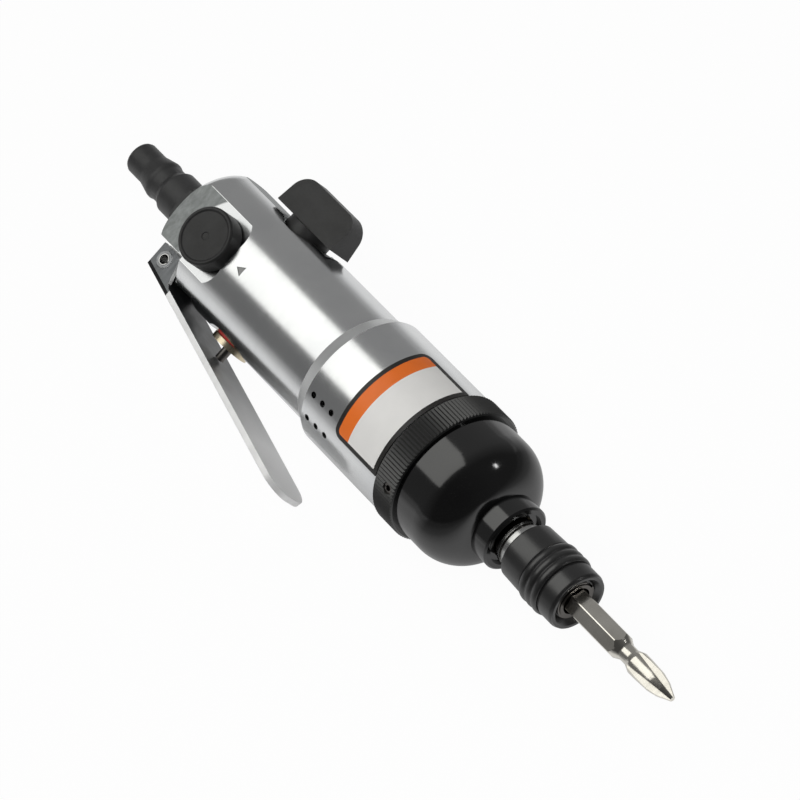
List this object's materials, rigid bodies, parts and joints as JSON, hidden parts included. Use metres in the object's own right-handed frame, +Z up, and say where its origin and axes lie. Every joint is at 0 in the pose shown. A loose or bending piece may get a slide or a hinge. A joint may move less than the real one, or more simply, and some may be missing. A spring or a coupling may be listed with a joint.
{
  "type": "pneumatic screwdriver",
  "caption": "Straight air-driven impact screwdriver with a thumb lever, a round regulator knob, a winged reversing knob, a knurled nose case, a ribbed bit sleeve and a crosshead bit.",
  "frame": {"origin": "on the spindle's axis, at the middle of the air plug's sealing nose", "axes": "X runs along the spindle from the air plug to the bit; Z is up with the tool lying on its knurled ring and its lever's tip; the lever points to -Y and the wing of the reversing knob to +Y"},
  "size_m": [0.2198, 0.0599, 0.0405],
  "materials": {
    "aluminium": "satin",
    "black_steel": "gloss black",
    "dark_steel": "hardened",
    "black_plug": "satin black",
    "rubber": "satin",
    "brass": "turned",
    "steel": "ground",
    "red_rubber": "satin",
    "black_knob": "satin",
    "vane_resin": "laminated",
    "bit_steel": "tempered",
    "label_paper": "satin"
  },
  "bodies": {
    "base": {"body": "aluminium", "hammer_case": "black_steel", "case_screw": "dark_steel", "air_plug": "black_plug", "plug_washer": "rubber", "inlet_screen": "brass", "lever_pin": "steel", "valve_bush": "brass", "valve_o_ring": "red_rubber", "pin_o_ring": "rubber", "valve_seat": "steel", "throttle_spring": "steel", "detent_ball": "steel", "detent_spring": "steel", "rear_end_plate": "steel", "rear_bearing": "steel", "cylinder_liner": "steel", "front_end_plate": "steel", "front_bearing": "steel", "anvil_bush": "brass", "label": "label_paper"},
    "thumb_lever": {"lever": "aluminium"},
    "throttle": {"throttle_pin": "dark_steel", "throttle_ball": "steel"},
    "reverser": {"reverse_knob": "black_knob", "reverse_valve": "dark_steel", "reverse_o_ring": "rubber"},
    "regulator": {"regulator_knob": "black_knob", "regulator_valve": "dark_steel", "regulator_o_ring": "rubber"},
    "motor": {"rotor": "steel", "vanes": "vane_resin", "hammer_cage": "steel", "hammer_dogs": "dark_steel", "hammer_pins": "steel"},
    "spindle": {"anvil": "steel", "anvil_clip": "steel", "spring_seat": "steel", "sleeve_spring": "steel", "sleeve_clip": "steel", "lock_balls": "steel", "bit": "bit_steel"},
    "bit_sleeve": {"sleeve": "black_plug"}
  },
  "joints": [
    {"name": "lever_hinge", "type": "hinge", "parent": "base", "child": "thumb_lever", "pos_m": [0.0296, -0.01198, -0.00477], "axis": [0, -0.37, 0.929], "range_deg": [0, 6.5], "stiffness_Nm_per_rad": 1.5, "springref_deg": -8.59},
    {"name": "throttle_slide", "type": "slide", "parent": "base", "child": "throttle", "axis": [0, 0.929, 0.37], "range_m": [0, 0.00317], "deforming": ["throttle_spring"]},
    {"name": "reverse_turn", "type": "hinge", "parent": "base", "child": "reverser", "pos_m": [0.0519, 0.01486, 0.00592], "axis": [0, 0.929, 0.37], "range_deg": [-40, 40]},
    {"name": "regulator_turn", "type": "hinge", "parent": "base", "child": "regulator", "pos_m": [0.0425, -0.00518, 0.01301], "axis": [0, -0.37, 0.929], "range_deg": [0, 90]},
    {"name": "motor_spin", "type": "hinge", "parent": "base", "child": "motor", "pos_m": [0.086, 0, 0], "axis": [1, 0, 0], "continuous": true},
    {"name": "anvil_spin", "type": "hinge", "parent": "base", "child": "spindle", "pos_m": [0.151, 0, 0], "axis": [1, 0, 0], "continuous": true},
    {"name": "sleeve_slide", "type": "slide", "parent": "spindle", "child": "bit_sleeve", "axis": [-1, 0, 0], "range_m": [0, 0.0034], "stiffness_N_per_m": 600, "springref_m": -0.008, "deforming": ["sleeve_spring"]}
  ],
  "couplings": [
    {"joint": "throttle_slide", "follows": "lever_hinge", "m_per_rad": 0.0279},
    {"joint": "anvil_spin", "follows": "motor_spin", "ratio": 1}
  ]
}
